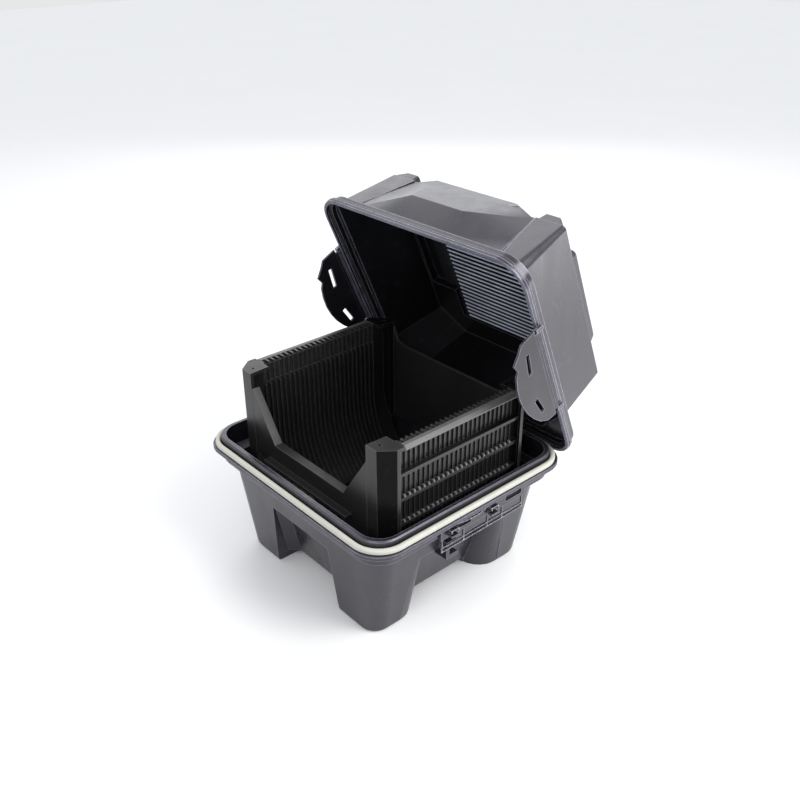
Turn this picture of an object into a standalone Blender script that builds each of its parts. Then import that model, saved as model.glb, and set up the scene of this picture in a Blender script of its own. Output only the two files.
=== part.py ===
"""Wafer carrier storage box: a four-legged tub with a gasket, a hinged domed lid with side
latch flaps and a wafer retainer, and the slotted wafer cassette that stands in the tub.

Frame: X right, Y to the hinge side, Z up, floor at Z = 0. All driving values are millimetres.
"""

import math

import bmesh
import bpy
from mathutils import Matrix, Vector

MM = 0.001

# --- driving dimensions of the tub (heights above the floor) ---
BASE_Y = -40.47  # the open box is centred on the origin, so the tub sits forward of it
SEAL_Z = 134.0  # middle plane of the gasket
RIM_X, RIM_Y, RIM_R = 148.5, 137.0, 32.0  # half sizes and corner radius of the tub flange
LIP_X, LIP_Y, LIP_R = 140.5, 129.0, 26.5
SKIRT_X, SKIRT_Y = 139.0, 128.0
SKIRT_Z = 112.0
CAVITY_X, CAVITY_Y, CAVITY_R = 136.0, 124.0, 24.0  # at the lip
FOOT_X, FOOT_Y = 110.0, 110.0  # half sizes over the legs at the floor
WALL_TOP_X, WALL_TOP_Y = 129.7, 118.6  # half sizes where the wall meets the skirt
WALL = 3.0
FLOOR_Z = 12.0
UNDERSIDE_Z = 9.0
RECESS_TOP_END, RECESS_TOP_SIDE = 81.0, 84.0
GAP = 0.3

# --- driving dimensions of the lid: u runs from its rear edge to its front, n up from its rim ---
OPEN_ANGLE = math.radians(66.5)
HINGE_Y, HINGE_Z = 129.5, 124.0
HINGE_X = 78.0
KNUCKLE_R, PIN_R = 2.0, 1.1
LID_SEAT_Z = SEAL_Z + 3.0
LID_RIM_X, LID_RIM_Y, LID_RIM_R = 148.0, 135.0, 31.0
DOME_N, DOME_TOP_N = 14.0, 88.0
DOME_X, DOME_TOP_X = 136.0, 124.5
DOME_FRONT_U, DOME_TOP_FRONT_U = 257.5, 245.0
DOME_REAR_U, DOME_TOP_REAR_U = 12.5, 15.0
REAR_CUT_X, REAR_CUT_U, REAR_CUT_TOP_U = 37.0, 38.0, 29.0  # the large chamfer of each rear corner
SPINE_N, ROOF_N, PILLAR_N = 95.0, 97.0, 97.0
SHELL = 2.5

# --- latch flaps ---
STUDS = ((-34.6, 21.0), (21.6, 22.2))  # y and depth below the seal of the two studs of a side
FLAP_X0, FLAP_X1 = 149.2, 151.4
FLAP_U0, FLAP_U1 = 90.5, 193.5
FLAP_PIVOT_N = -2.5
FLAP_BARREL_R, FLAP_PIN_R = 1.7, 0.8

# --- cassette: 25 slots for 200 mm wafers at the standard pitch ---
SLOTS, PITCH = 25, 6.35
SLOT_MID_Y = 1.2
CASSETTE_FRONT, CASSETTE_REAR = -101.0, 102.0
CASSETTE_TOP = SEAL_Z + 86.0
CASSETTE_FOOT = 17.0
FLANGE_X = 121.8
TOOTH_TIP_X = 106.8
SIDE_X = 111.0
WAFER_MID_Z = SEAL_Z - 6.0

ARC_STEPS = 6


def collection(name, shown):
    made = bpy.data.collections.new(name)
    bpy.context.scene.collection.children.link(made)
    made.hide_render = not shown
    return made


def clear_scene():
    for obj in list(bpy.data.objects):
        bpy.data.objects.remove(obj, do_unlink=True)


def material(name, color, roughness, metallic=0.0):
    made = bpy.data.materials.new(name)
    made.use_nodes = True
    shader = made.node_tree.nodes["Principled BSDF"]
    shader.inputs["Base Color"].default_value = (*color, 1.0)
    shader.inputs["Roughness"].default_value = roughness
    shader.inputs["Metallic"].default_value = metallic
    return made


def new_object(name, mesh, parent, shade=None):
    """A part when it has a shade, else a cutter that only other shapes use."""
    obj = bpy.data.objects.new(name, mesh)
    if shade:
        PARTS.objects.link(obj)
        mesh.materials.append(shade)
        mesh.shade_smooth()
        mesh.set_sharp_from_angle(angle=math.radians(35))
    else:
        CUTTERS.objects.link(obj)
        obj.hide_render = True
        obj.display_type = "WIRE"
    obj.parent = parent
    return obj


def loft_mesh(name, rings, ring_closed=False):
    """A closed body through rings of equal length: capped at both ends, or run round to a loop."""
    mesh = bpy.data.meshes.new(name)
    shape = bmesh.new()
    rows = [[shape.verts.new(Vector(point) * MM) for point in ring] for ring in rings]
    pairs = list(zip(rows, rows[1:]))
    if ring_closed:
        pairs.append((rows[-1], rows[0]))
    for low, high in pairs:
        for i in range(len(low)):
            j = (i + 1) % len(low)
            shape.faces.new((low[i], low[j], high[j], high[i]))
    if not ring_closed:
        shape.faces.new(reversed(rows[0]))
        shape.faces.new(rows[-1])
    bmesh.ops.recalc_face_normals(shape, faces=shape.faces)
    shape.to_mesh(mesh)
    shape.free()
    return mesh


def rounded(half_x, half_y, radius, z, mid_y=0.0):
    """The points of a rectangle with round corners, counter-clockwise, at one height."""
    points = []
    for corner, (sx, sy) in enumerate(((1, 1), (-1, 1), (-1, -1), (1, -1))):
        for step in range(ARC_STEPS + 1):
            angle = math.radians(90) * (corner + step / ARC_STEPS)
            x = sx * (half_x - radius) + radius * math.cos(angle)
            y = sy * (half_y - radius) + radius * math.sin(angle)
            points.append((x, mid_y + y, z))
    return points


def box_mesh(name, low, high):
    mesh = bpy.data.meshes.new(name)
    shape = bmesh.new()
    bmesh.ops.create_cube(shape, size=1.0)
    size = [(h - l) * MM for l, h in zip(low, high)]
    middle = [(h + l) / 2 * MM for l, h in zip(low, high)]
    bmesh.ops.scale(shape, verts=shape.verts, vec=size)
    bmesh.ops.translate(shape, verts=shape.verts, vec=middle)
    shape.to_mesh(mesh)
    shape.free()
    return mesh


def prism_mesh(name, outline, axis, low, high):
    """An outline extruded along one axis: (y, z) points for X, (x, z) for Y and (x, y) for Z."""
    place = {
        "X": lambda a, b, t: (t, a, b),
        "Y": lambda a, b, t: (a, t, b),
        "Z": lambda a, b, t: (a, b, t),
    }[axis]
    return loft_mesh(name, [[place(a, b, t) for a, b in outline] for t in (low, high)])


def rod_mesh(name, radius, x_low, x_high, y, z, sides=20):
    """A round bar along X."""
    mesh = bpy.data.meshes.new(name)
    shape = bmesh.new()
    bmesh.ops.create_cone(
        shape,
        cap_ends=True,
        segments=sides,
        radius1=radius * MM,
        radius2=radius * MM,
        depth=(x_high - x_low) * MM,
        matrix=Matrix.Rotation(math.radians(90), 4, "Y"),
    )
    bmesh.ops.translate(shape, verts=shape.verts, vec=Vector(((x_low + x_high) / 2, y, z)) * MM)
    shape.to_mesh(mesh)
    shape.free()
    return mesh


def mirrored(mesh):
    """A copy of a mesh on the other side of the plane X = 0."""
    copy = mesh.copy()
    copy.transform(Matrix.Scale(-1, 4, (1, 0, 0)))
    copy.flip_normals()
    return copy


def combine(obj, operation, mesh, parent=None):
    """Adds one Boolean with a cutter made from the mesh."""
    other = new_object(f"{obj.name}_{operation.lower()}_{len(obj.modifiers)}", mesh, parent or obj.parent)
    modifier = obj.modifiers.new(other.name, "BOOLEAN")
    modifier.operation = operation
    modifier.object = other
    modifier.solver = "EXACT"
    return other


def arc(mid_a, mid_b, radius, start, end, steps=ARC_STEPS):
    """Points on a circle from one angle to another, in degrees."""
    turns = [math.radians(start + (end - start) * i / steps) for i in range(steps + 1)]
    return [(mid_a + radius * math.cos(t), mid_b + radius * math.sin(t)) for t in turns]


# ---------------------------------------------------------------- tub


def end_recess(grow, sign):
    """The slot between two legs under a tub end: half width, chamfer and sloping panel."""
    rings = []
    for z, half, depth in ((-4.0, 55.5, 83.0), (RECESS_TOP_END, 48.0, 104.0)):
        outline = [
            (half + grow, 160.0),
            (half + grow, depth + 10.0 - grow),
            (half - 10.0 + grow, depth - grow),
            (-half + 10.0 - grow, depth - grow),
            (-half - grow, depth + 10.0 - grow),
            (-half - grow, 160.0),
        ]
        top = z + grow if z > 0 else z
        rings.append([(x, sign * y, top) for x, y in outline])
    return rings


def side_recess(grow, sign):
    """The wider slot between two legs at a tub side, whose leg corners are round."""
    rings = []
    for z, face, half, radius, panel in (
        (-4.0, 108.0, 73.5, 30.0, 83.0),
        (RECESS_TOP_SIDE, 125.0, 64.0, 15.0, 110.5),
    ):
        round_corner = arc(face - radius, half, radius - grow, 0, -78)
        half_outline = [(160.0, half + grow), (face - grow + 0.1, half + grow), *round_corner]
        half_outline.append((panel - grow, half - radius + grow))
        outline = half_outline + [(x, -y) for x, y in reversed(half_outline)]
        top = z + grow if z > 0 else z
        rings.append([(sign * x, y, top) for x, y in outline])
    return rings


def make_tub(root, shade):
    """The tub: drafted walls, four legs, a skirt, the flange under the gasket and the inner lip."""
    outer = [
        rounded(FOOT_X - 4, FOOT_Y - 4, 16, 0),
        rounded(FOOT_X - 1, FOOT_Y - 1, 18, 1.5),
        rounded(FOOT_X + 0.8, FOOT_Y + 0.4, 20, 5),
        rounded(WALL_TOP_X, WALL_TOP_Y, 24, SKIRT_Z - 0.5),
        rounded(SKIRT_X, SKIRT_Y, 27, SKIRT_Z),
        rounded(SKIRT_X, SKIRT_Y, 27, SEAL_Z - 8.3),
        rounded(RIM_X, RIM_Y, RIM_R, SEAL_Z - 8.0),
        rounded(RIM_X, RIM_Y, RIM_R, SEAL_Z - 3.6),
        rounded(LIP_X + 0.4, LIP_Y + 0.4, LIP_R, SEAL_Z - 3.3),
        rounded(LIP_X, LIP_Y, LIP_R, SEAL_Z + 5.8),
        rounded(LIP_X - 1.2, LIP_Y - 1.2, LIP_R - 1, SEAL_Z + 7.0),
    ]
    tub = new_object("base_tub", loft_mesh("base_tub", outer), root, shade)
    inner = [
        rounded(FOOT_X - 2, FOOT_Y - 3, 16, FLOOR_Z),
        rounded(WALL_TOP_X - WALL, WALL_TOP_Y - WALL, 21, SKIRT_Z),
        rounded(CAVITY_X - 0.5, CAVITY_Y - 0.5, CAVITY_R, SKIRT_Z + 4),
        rounded(CAVITY_X, CAVITY_Y, CAVITY_R, SEAL_Z + 12),
    ]
    for make in (end_recess, side_recess):
        for sign in (-1, 1):
            combine(tub, "DIFFERENCE", loft_mesh("recess", make(0.0, sign)))
    for half_x, half_y in ((55.0, 160.0), (160.0, 43.0)):
        slab = box_mesh("underside", (-half_x, -half_y, -5), (half_x, half_y, UNDERSIDE_Z))
        combine(tub, "DIFFERENCE", slab)
    guide = ((-34, 75), (-18, 75), (-18, 79), (-30, 79), (-30, 92), (-20, 92), (-20, 96), (-34, 96))
    for keep in (lambda mesh: mesh, mirrored):
        combine(tub, "UNION", keep(prism_mesh("latch_guide", guide, "X", 119.0, 136.0)))
    for keep in (lambda mesh: mesh, mirrored):
        low, high = (HINGE_X - 9, SKIRT_Y - 0.9, 108.0), (HINGE_X + 15, SKIRT_Y + 5, SEAL_Z - 7.6)
        combine(tub, "DIFFERENCE", keep(box_mesh("hinge_pocket", low, high)))
    hollow = combine(tub, "DIFFERENCE", loft_mesh("hollow", inner))
    for make in (end_recess, side_recess):
        for sign in (-1, 1):
            combine(hollow, "DIFFERENCE", loft_mesh("panel", make(WALL, sign)))
    return tub


def make_gasket(root, shade):
    """A solid cord of elastomer that lies on the flange, round the lip."""
    section = (
        (LIP_X + 1.2, SEAL_Z - 2.6),
        (LIP_X + 5.6, SEAL_Z - 3.0),
        (LIP_X + 6.6, SEAL_Z - 1.8),
        (LIP_X + 6.6, SEAL_Z + 1.2),
        (LIP_X + 5.2, SEAL_Z + 2.1),
        (LIP_X + 2.4, SEAL_Z + 2.1),
        (LIP_X + 1.2, SEAL_Z + 1.4),
    )
    rings = [rounded(x, x - LIP_X + LIP_Y, x - LIP_X + 27, z) for x, z in section]
    return new_object("gasket", loft_mesh("gasket", rings, ring_closed=True), root, shade)


def make_catch(root, shade, side, flip):
    """The latch catch on the tub skirt: a rail with two windows and the two studs of the flap."""
    keep = mirrored if flip else (lambda mesh: mesh)
    x0, low, high = SKIRT_X + GAP, SEAL_Z - 25.0, SEAL_Z - 8.0 - GAP
    mesh = keep(box_mesh("rail", (x0, -48, low), (x0 + 2.7, 74, high)))
    rail = new_object(f"catch_rail_{side}", mesh, root, shade)
    for y, drop in STUDS:
        stud = box_mesh("stud", (x0 + 1, y - 5, SEAL_Z - drop - 1), (148.9, y + 5, SEAL_Z - drop + 1))
        combine(rail, "UNION", keep(stud))
    for y in (-18.0, 56.0):
        window = box_mesh("window", (x0 - 5, y - 12, low + 4), (x0 + 9, y + 12, high - 3))
        combine(rail, "DIFFERENCE", keep(window))


def make_hinge(root, lid, steel, shade, side, flip):
    """One hinge: the tub's lug under the flange, the lid's arm round the flange, and the pin."""
    keep = mirrored if flip else (lambda mesh: mesh)
    x = HINGE_X
    low, high = (x - 7, SKIRT_Y - 0.9 + GAP, HINGE_Z - 4), (x + 5, HINGE_Y + 2.5, SEAL_Z - 7.6 - GAP)
    bracket = new_object(f"hinge_bracket_{side}", keep(box_mesh("lug", low, high)), root, shade)
    bore = rod_mesh("bore", PIN_R + 0.1, x - 20, x + 20, HINGE_Y, HINGE_Z)
    combine(bracket, "DIFFERENCE", keep(bore))

    inside, outside = RIM_Y - HINGE_Y + 0.7, RIM_Y - HINGE_Y + 4.0
    top, under = LID_SEAT_Z - HINGE_Z + 6.5, LID_SEAT_Z - HINGE_Z + 0.4
    pad = LID_RIM_Y - HINGE_Y + GAP
    outline = [(0, -1.8), (outside - 2, -1.8), (outside, 0.2), (outside, top), (pad, top), (pad, under)]
    outline += [(inside, under - 2.2), (inside, 1.6), (0, 1.6)]
    mesh = keep(prism_mesh("arm", outline, "X", x + 5.5, x + 13))
    arm = new_object(f"lid_hinge_arm_{side}", mesh, lid, shade)
    combine(arm, "UNION", keep(rod_mesh("knuckle", KNUCKLE_R, x + 5.6, x + 12.9, 0, 0)))
    combine(arm, "DIFFERENCE", keep(rod_mesh("bore", PIN_R + 0.1, x - 20, x + 20, 0, 0)))

    pin = keep(rod_mesh("pin", PIN_R, x - 8, x + 14.5, HINGE_Y, HINGE_Z))
    new_object(f"hinge_pin_{side}", pin, root, steel)


# ---------------------------------------------------------------- lid


def at_u(u):
    """The lid's own y, from the hinge, of a distance from its rear edge."""
    return LID_RIM_Y - HINGE_Y - u


def at_n(n):
    """The lid's own z, from the hinge, of a height above its rim."""
    return LID_SEAT_Z - HINGE_Z + n


def rim_ring(half_x, half_y, radius, n):
    return rounded(half_x, half_y, radius, at_n(n), -HINGE_Y)


def dome_ring(n, inset, radius):
    """A ring of the drafted dome: round corners at the front and wide chamfers at the rear."""
    t = (n - DOME_N) / (DOME_TOP_N - DOME_N)
    half = DOME_X + (DOME_TOP_X - DOME_X) * t - inset
    front = at_u(DOME_FRONT_U + (DOME_TOP_FRONT_U - DOME_FRONT_U) * t - inset)
    rear = at_u(DOME_REAR_U + (DOME_TOP_REAR_U - DOME_REAR_U) * t + inset)
    cut_x = REAR_CUT_X - 0.4 * inset
    cut_y = REAR_CUT_U + (REAR_CUT_TOP_U - REAR_CUT_U) * t - 0.4 * inset
    side = [(half, rear - cut_y - 2), (half - 0.8, rear - cut_y + 0.8)]
    side += [(half - cut_x + 0.8, rear - 0.8), (half - cut_x - 2, rear)]
    corner = arc(half - radius, front + radius, radius, -90, 0)
    outline = corner + side + [(-x, y) for x, y in reversed(side)] + [(-x, y) for x, y in reversed(corner)]
    return [(x, y, at_n(n)) for x, y in outline]


def lid_block(levels, inset):
    """A tapered block with round corners, from (x low, x high, rear u, front u, n, radius)."""
    rings = []
    for i, (x0, x1, rear, front, n, radius) in enumerate(levels):
        side = inset if i else 2.4 * inset
        half_x, half_y = (x1 - x0) / 2 - side, (front - rear) / 2 - side
        mid_x, mid_y = (x0 + x1) / 2, at_u((rear + front) / 2)
        z = at_n(n - (inset if i == len(levels) - 1 else 2 * inset))
        ring = rounded(half_x, half_y, max(radius - inset, 1.0), z, mid_y)
        rings.append([(mid_x + px, py, pz) for px, py, pz in ring])
    return loft_mesh("block", rings)


def dome_blocks(inset):
    """What stands on the dome: the spine, the roof across it and the tops of the front pillars."""
    blocks = [
        ((-85, 85, 42, 230, 78, 8), (-82, 82, 45, 227, SPINE_N, 6)),
        ((-125.4, 125.4, 81, 213, 78, 6), (-120.5, 120.5, 88, 206, ROOF_N, 5)),
    ]
    for x0, x1, top_x0, top_x1 in ((89, 124.2, 91, 111), (-124.2, -89, -111, -91)):
        blocks.append(((x0, x1, 214, 245.2, 85, 3), (top_x0, top_x1, 217, 243.6, PILLAR_N, 3)))
    return [lid_block(levels, inset) for levels in blocks]


def front_groove(grow):
    """The shallow field between the front pillars, from which the nose stands out."""
    rings = []
    for half, u, n in ((106, 256.4, DOME_N + 0.6), (98, 251.6, 43.3), (88, 243.2, 84.5), (84, 241, 120)):
        y = at_u(u - grow)
        ring = [(half + grow, at_u(330)), (half + grow, y), (-half - grow, y), (-half - grow, at_u(330))]
        rings.append([(x, py, at_n(n)) for x, py in ring])
    return loft_mesh("groove", rings)


def front_nose(inset):
    """The faceted nose: it swells from the crest to the rim's front, then drops to the rim."""
    rings = []
    for tip_x, tip_u, side_x, side_u, n in (
        (44, 265.5, 103, 257.4, DOME_N - 1),
        (36.5, 269.5, 97, 252.6, 43.3),
        (53.7, 251.8, 87, 244.4, 84.5),
        (58, 247.2, 60, 245, SPINE_N),
    ):
        tip, side = (tip_x - 0.5 * inset, at_u(tip_u - inset)), (side_x - inset, at_u(side_u - inset))
        back = (side_x - inset, at_u(215))
        right = [back, side, tip]
        ring = right + [(-x, y) for x, y in reversed(right)]
        z = at_n(n - (inset if n == SPINE_N else -inset if n < DOME_N else 0))
        rings.append([(x, y, z) for x, y in reversed(ring)])
    return loft_mesh("nose", rings)


def make_lid_shell(lid, shade):
    """The lid: a stepped rim and the drafted dome with its spine, roof, nose and pillars."""
    outer = [
        rim_ring(LID_RIM_X, LID_RIM_Y, LID_RIM_R, 0),
        rim_ring(LID_RIM_X, LID_RIM_Y, LID_RIM_R, 6.4),
        rim_ring(LID_RIM_X - 0.6, LID_RIM_Y - 0.6, LID_RIM_R - 0.6, 7.0),
        rim_ring(LID_RIM_X - 3.5, LID_RIM_Y - 3.5, LID_RIM_R - 3.5, 7.3),
        rim_ring(LID_RIM_X - 3.5, LID_RIM_Y - 3.5, LID_RIM_R - 3.5, DOME_N),
    ]
    shell = new_object("lid_shell", loft_mesh("lid_shell", outer), lid, shade)
    dome = [dome_ring(DOME_N - 4, 0.3, 10), dome_ring(DOME_N, 0, 10), dome_ring(DOME_TOP_N - 1, 0, 5)]
    dome.append(dome_ring(DOME_TOP_N, 1.0, 4))
    combine(shell, "UNION", loft_mesh("dome", dome))
    combine(shell, "DIFFERENCE", front_groove(0.0))
    combine(shell, "UNION", front_nose(0.0))
    for block in dome_blocks(0.0):
        combine(shell, "UNION", block)
    mouth = [
        rim_ring(LID_RIM_X - 3.5, LID_RIM_Y - 3.6, LID_RIM_R - 3.0, -6),
        rim_ring(LID_RIM_X - 3.5, LID_RIM_Y - 3.6, LID_RIM_R - 3.0, 4.6),
        rim_ring(LID_RIM_X - 6.5, LID_RIM_Y - 6.5, LID_RIM_R - 6, 6.0),
        rim_ring(LID_RIM_X - 6.5, LID_RIM_Y - 6.5, LID_RIM_R - 6, 11.4),
    ]
    combine(shell, "DIFFERENCE", loft_mesh("mouth", mouth))
    inner = [dome_ring(DOME_N - 6, SHELL, 7.5), dome_ring(DOME_TOP_N - SHELL, SHELL, 3)]
    hollow = combine(shell, "DIFFERENCE", loft_mesh("hollow", inner))
    combine(hollow, "DIFFERENCE", front_groove(SHELL - 1.1))
    combine(shell, "DIFFERENCE", front_nose(SHELL + 2.0))
    for block in dome_blocks(SHELL):
        combine(shell, "DIFFERENCE", block)
    return shell


def make_retainer(lid, shade):
    """The wafer retainer under the roof: a frame and, inside it, the comb that spaces the wafers."""
    top = at_n(SPINE_N - SHELL - GAP)
    plate = box_mesh("plate", (-78, at_u(223.2), top - 3.5), (78, at_u(48.9), top))
    frame = new_object("retainer_frame", plate, lid, shade)
    wing = box_mesh("wing", (-95, at_u(202), top - 3.3), (95, at_u(94), top - 0.2))
    combine(frame, "UNION", wing)
    window = box_mesh("window", (-68.4, at_u(220.4), top - 9), (68.4, at_u(51.6), top + 4))
    combine(frame, "DIFFERENCE", window)

    slab = box_mesh("slab", (-68, at_u(220), top - 2.6), (68, at_u(52), top - 0.4))
    comb = new_object("retainer_comb", slab, lid, shade)
    for i in range(SLOTS + 1):
        y = SLOT_MID_Y + (i - SLOTS / 2) * PITCH - HINGE_Y
        ridge = [(y - 1.9, top - 2), (y - 0.7, top - 7.6), (y + 0.7, top - 7.6), (y + 1.9, top - 2)]
        combine(comb, "UNION", prism_mesh("ridge", ridge, "X", -67, 67))


# ---------------------------------------------------------------- latch flaps


def make_flap(lid, shade, steel, side, sign):
    """A latch flap: a D-shaped plate with two slots, on a pin held by the lid's bracket."""
    keep = (lambda mesh: mesh) if sign > 0 else mirrored
    mid_x = (FLAP_X0 + FLAP_X1) / 2
    pivot = (sign * mid_x, at_u((FLAP_U0 + FLAP_U1) / 2), at_n(FLAP_PIVOT_N))
    frame = empty(f"flap_frame_{side}", pivot, lid)

    def place(mesh):
        """The mesh on its own side, measured from the pivot."""
        mesh = keep(mesh)
        mesh.transform(Matrix.Translation(Vector(pivot) * -MM))
        return mesh

    def bar(radius, u0, u1):
        """A round bar on the pivot line."""
        mesh = rod_mesh("bar", radius, at_u(u1), at_u(u0), 0, 0, 16)
        mesh.transform(Matrix.Rotation(math.radians(90), 4, "Z"))
        mesh.transform(Matrix.Translation(Vector((mid_x, 0, at_n(FLAP_PIVOT_N))) * MM))
        return mesh

    outline = [(85, -8), (86.5, -20), *arc(143, 32, 78.5, 232, 288)]
    outline += [(173, -38.5), (181.5, -41.5), (191, -31), (197, -26), (198.5, -7)]
    outline = [(at_u(u), at_n(n)) for u, n in outline]
    plate = prism_mesh("plate", outline, "X", FLAP_X0, FLAP_X1)
    flap = new_object(f"latch_flap_{side}", place(plate), frame, shade)
    low = (FLAP_X0 + 0.15, at_u(FLAP_U1), at_n(-9))
    high = (FLAP_X1 - 0.15, at_u(FLAP_U0), at_n(FLAP_PIVOT_N))
    combine(flap, "UNION", place(box_mesh("web", low, high)), frame)
    combine(flap, "UNION", place(bar(FLAP_BARREL_R, FLAP_U0, FLAP_U1)), frame)
    combine(flap, "DIFFERENCE", place(bar(FLAP_PIN_R + 0.1, FLAP_U0 - 9, FLAP_U1 + 9)), frame)
    for u, n, lean, half in ((169.6, -24, -7.8, 12.0), (113.4, -25.2, 12.3, 10.5)):
        slot = box_mesh("slot", (FLAP_X0 - 4, -half, -2.3), (FLAP_X1 + 4, half, 2.3))
        slot.transform(Matrix.Rotation(math.radians(lean), 4, "X"))
        slot.transform(Matrix.Translation(Vector((0, at_u(u), at_n(n))) * MM))
        combine(flap, "DIFFERENCE", place(slot), frame)

    x0 = LID_RIM_X + GAP
    strip = box_mesh("strip", (x0, at_u(FLAP_U1 + 4.4), at_n(1.4)), (x0 + 1, at_u(FLAP_U0 - 4.4), at_n(5)))
    bracket = new_object(f"flap_bracket_{side}", keep(strip), lid, shade)
    for u in (FLAP_U0 - 2.4, FLAP_U1 + 2.4):
        low, high = (x0, at_u(u + 2), at_n(-4.6)), (FLAP_X1 + 0.8, at_u(u - 2), at_n(4.8))
        combine(bracket, "UNION", keep(box_mesh("lug", low, high)))
    combine(bracket, "DIFFERENCE", keep(bar(FLAP_PIN_R + 0.1, FLAP_U0 - 9, FLAP_U1 + 9)))
    new_object(f"flap_pin_{side}", keep(bar(FLAP_PIN_R, FLAP_U0 - 4.2, FLAP_U1 + 4.2)), lid, steel)


# ---------------------------------------------------------------- cassette


def side_wall_outline():
    """The cassette side in section: straight down, round the wafers, then out to the foot."""
    outer = [(SIDE_X, CASSETTE_TOP - 2.0)]
    outer += [(x, z) for x, z in arc(0, WAFER_MID_Z, SIDE_X, 0, -48)]
    outer += [(76.0, CASSETTE_FOOT)]
    inner = [(73.0, CASSETTE_FOOT)]
    inner += [(x, z) for x, z in arc(0, WAFER_MID_Z, SIDE_X - 2.6, -48.5, 0)]
    inner += [(SIDE_X - 2.6, CASSETTE_TOP - 2.0)]
    return outer + inner


def post_outline(end, sign):
    """A cassette corner post in plan: a front plate and a 45 degree face, as one folded wall."""
    s = -1 if end < 0 else 1
    face = CASSETTE_FRONT if end < 0 else CASSETTE_REAR
    knee = 109.6 if end < 0 else 104.0
    outer = [(94.5, face), (knee, face), (FLANGE_X, face - s * 15), (FLANGE_X, face - s * 19)]
    inner = [(FLANGE_X - 3, face - s * 19), (FLANGE_X - 3, face - s * 16), (knee - 1.2, face - s * 3)]
    inner.append((94.5, face - s * 3))
    return [(sign * x, y) for x, y in outer + inner]


def make_cassette_side(root, shade, side, sign):
    """One slotted side of the cassette with its posts, top flange, rails and teeth."""
    outline = [(sign * x, z) for x, z in side_wall_outline()]
    wall = prism_mesh("wall", outline, "Y", CASSETTE_FRONT + 3, CASSETTE_REAR - 3)
    obj = new_object(f"cassette_side_{side}", wall, root, shade)
    front, rear = CASSETTE_FRONT + 16, CASSETTE_REAR - 16

    def add(low, high, name="rail"):
        span = sorted((sign * low[0], sign * high[0]))
        combine(obj, "UNION", box_mesh(name, (span[0], low[1], low[2]), (span[1], high[1], high[2])))

    for end in (-1, 1):
        combine(obj, "UNION", prism_mesh("post", post_outline(end, sign), "Z", 92.0, CASSETTE_TOP - 1))
        face = CASSETTE_FRONT if end < 0 else CASSETTE_REAR
        knee = 109.6 if end < 0 else 104.0
        plate = [(94.5, face), (knee, face), (FLANGE_X, face - end * 15), (FLANGE_X, face - end * 24)]
        plate.append((96, face - end * 24))
        top = prism_mesh("plate", [(sign * x, y) for x, y in plate], "Z", CASSETTE_TOP - 3, CASSETTE_TOP)
        combine(obj, "UNION", top)
    add((SIDE_X - 4, front, CASSETTE_TOP - 3.4), (FLANGE_X, rear, CASSETTE_TOP - 0.4), "flange")
    for z, reach in ((SEAL_Z + 53.0, 118.0), (SEAL_Z + 24.0, 117.0), (SEAL_Z - 6.0, 116.0)):
        add((SIDE_X - 2, front, z - 1.6), (reach, rear, z + 1.6))
    for i in range(SLOTS):
        y = SLOT_MID_Y + (i - (SLOTS - 1) / 2) * PITCH
        add((TOOTH_TIP_X, y - 1.0, CASSETTE_TOP - 26), (SIDE_X - 1, y + 1.0, CASSETTE_TOP - 1.2), "tooth")
    return obj


def make_cassette_ends(root, shade):
    """The end walls: the front one with its deep trapezoid cut and ledge, the rear one closed."""
    x = 94.2
    bottom, cut = SEAL_Z - 9, SEAL_Z + 14
    outline = [(-x, bottom), (x, bottom), (x, SEAL_Z + 68), (58, cut), (-58, cut), (-x, SEAL_Z + 68)]
    wall = prism_mesh("wall", outline, "Y", CASSETTE_FRONT, CASSETTE_FRONT + 3)
    front = new_object("cassette_front_wall", wall, root, shade)
    lip = [(-x, SEAL_Z + 68), (-58, cut), (58, cut), (x, SEAL_Z + 68), (x, SEAL_Z + 63), (59.5, cut - 3)]
    lip += [(-59.5, cut - 3), (-x, SEAL_Z + 63)]
    combine(front, "UNION", prism_mesh("lip", lip, "Y", CASSETTE_FRONT + 0.5, CASSETTE_FRONT + 10))
    ledge = box_mesh("ledge", (-70, CASSETTE_FRONT - 8, bottom), (70, CASSETTE_FRONT + 1, bottom + 4))
    combine(front, "UNION", ledge)

    crown = SEAL_Z + 80
    outline = [(-x, SEAL_Z - 40), (x, SEAL_Z - 40), (x, crown), (86, SEAL_Z + 64), (72, SEAL_Z + 61)]
    outline += [(-72, SEAL_Z + 61), (-86, SEAL_Z + 64), (-x, crown)]
    wall = prism_mesh("wall", outline, "Y", CASSETTE_REAR - 3, CASSETTE_REAR)
    new_object("cassette_rear_wall", wall, root, shade)


def make_supports(root, shade, dark):
    """The cassette's two foot bars and the two rests that it stands on in the tub."""
    for name, y in (("front", -48.0), ("rear", 50.0)):
        bar = box_mesh("bar", (-71.8, y - 5, CASSETTE_FOOT), (71.8, y + 5, CASSETTE_FOOT + 7))
        new_object(f"cassette_foot_bar_{name}", bar, root, shade)
        rest = rounded(78, 9, 5, FLOOR_Z + GAP, y), rounded(78, 9, 5, CASSETTE_FOOT - GAP, y)
        new_object(f"cassette_rest_{name}", loft_mesh("rest", rest), root, dark)


# ---------------------------------------------------------------- assembly


def empty(name, location, parent=None, turn=0.0):
    made = bpy.data.objects.new(name, None)
    PARTS.objects.link(made)
    made.location = Vector(location) * MM
    made.rotation_euler = (turn, 0, 0)
    made.parent = parent
    return made


clear_scene()
PARTS = collection("wafer_carrier_box", True)
CUTTERS = collection("cutters", False)

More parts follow.
